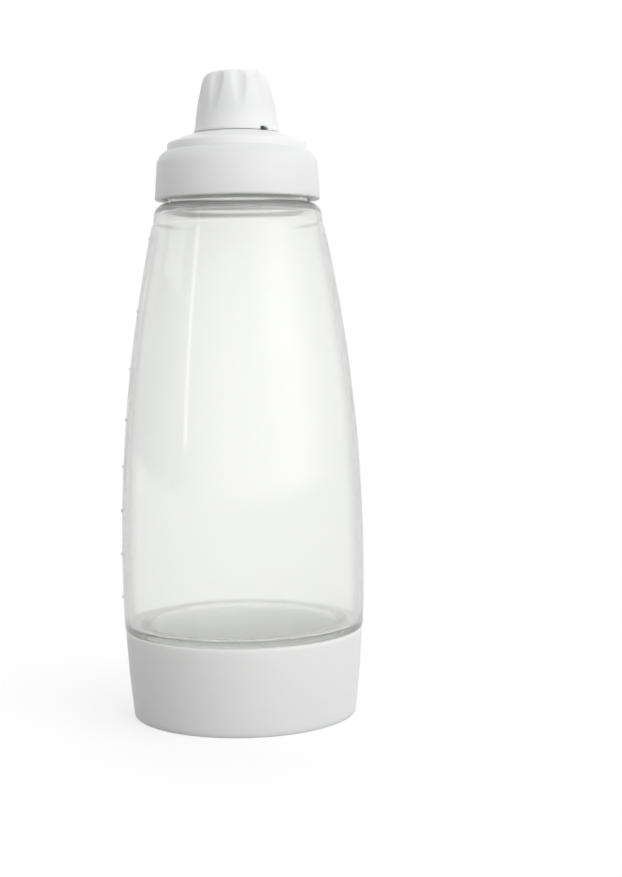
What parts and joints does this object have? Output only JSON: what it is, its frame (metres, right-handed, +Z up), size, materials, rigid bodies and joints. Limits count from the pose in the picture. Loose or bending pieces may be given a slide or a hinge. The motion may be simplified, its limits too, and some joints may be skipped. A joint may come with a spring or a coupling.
{
  "type": "batter dispenser",
  "caption": "Clear squeeze bottle for batter with a white screw-on base, a screw collar, a domed nozzle plate and a fluted twist cap.",
  "frame": {"origin": "centre of the base's underside, on the surface that the bottle stands on", "axes": "+Z up along the bottle's axis to the twist cap; -Y towards the viewer of the picture; -X is the side with the volume marks"},
  "size_m": [0.0924, 0.092, 0.2419],
  "materials": {
    "base_plastic": "satin white",
    "gasket_silicone": "soft translucent",
    "clear_plastic": "clear gloss",
    "collar_plastic": "satin white",
    "nozzle_plastic": "satin white",
    "valve_silicone": "soft translucent",
    "retainer_plastic": "satin white",
    "liner_foam": "matte white",
    "cap_plastic": "satin white"
  },
  "bodies": {
    "base": {"base_cup": "base_plastic"},
    "base_seal": {"base_gasket": "gasket_silicone"},
    "bottle": {"bottle": "clear_plastic"},
    "head": {"nozzle_plate": "nozzle_plastic", "neck_gasket": "gasket_silicone", "flow_valve": "valve_silicone", "valve_retainer": "retainer_plastic"},
    "collar": {"collar": "collar_plastic"},
    "cap_seal": {"cap_liner": "liner_foam"},
    "cap": {"twist_cap": "cap_plastic"}
  },
  "joints": [
    {"name": "bottle_lift", "type": "slide", "parent": "base", "child": "base_seal", "axis": [0, 0, 1], "range_m": [0, 0.03]},
    {"name": "bottle_turn", "type": "hinge", "parent": "base_seal", "child": "bottle", "pos_m": [0, 0, 0], "axis": [0, 0, 1], "range_deg": [0, 1350]},
    {"name": "head_lift", "type": "slide", "parent": "bottle", "child": "head", "axis": [0, 0, 1], "range_m": [0, 0.0135]},
    {"name": "collar_turn", "type": "hinge", "parent": "head", "child": "collar", "pos_m": [0, 0, 0.2], "axis": [0, 0, 1], "range_deg": [0, 810]},
    {"name": "cap_lift", "type": "slide", "parent": "head", "child": "cap_seal", "axis": [0, 0, 1], "range_m": [0, 0.0195]},
    {"name": "cap_turn", "type": "hinge", "parent": "cap_seal", "child": "cap", "pos_m": [0, 0, 0.23], "axis": [0, 0, 1], "range_deg": [0, 1170]}
  ],
  "couplings": [
    {"joint": "bottle_lift", "follows": "bottle_turn", "m_per_rad": 0.0012732},
    {"joint": "head_lift", "follows": "collar_turn", "m_per_rad": 0.00095493},
    {"joint": "cap_lift", "follows": "cap_turn", "m_per_rad": 0.00095493}
  ]
}
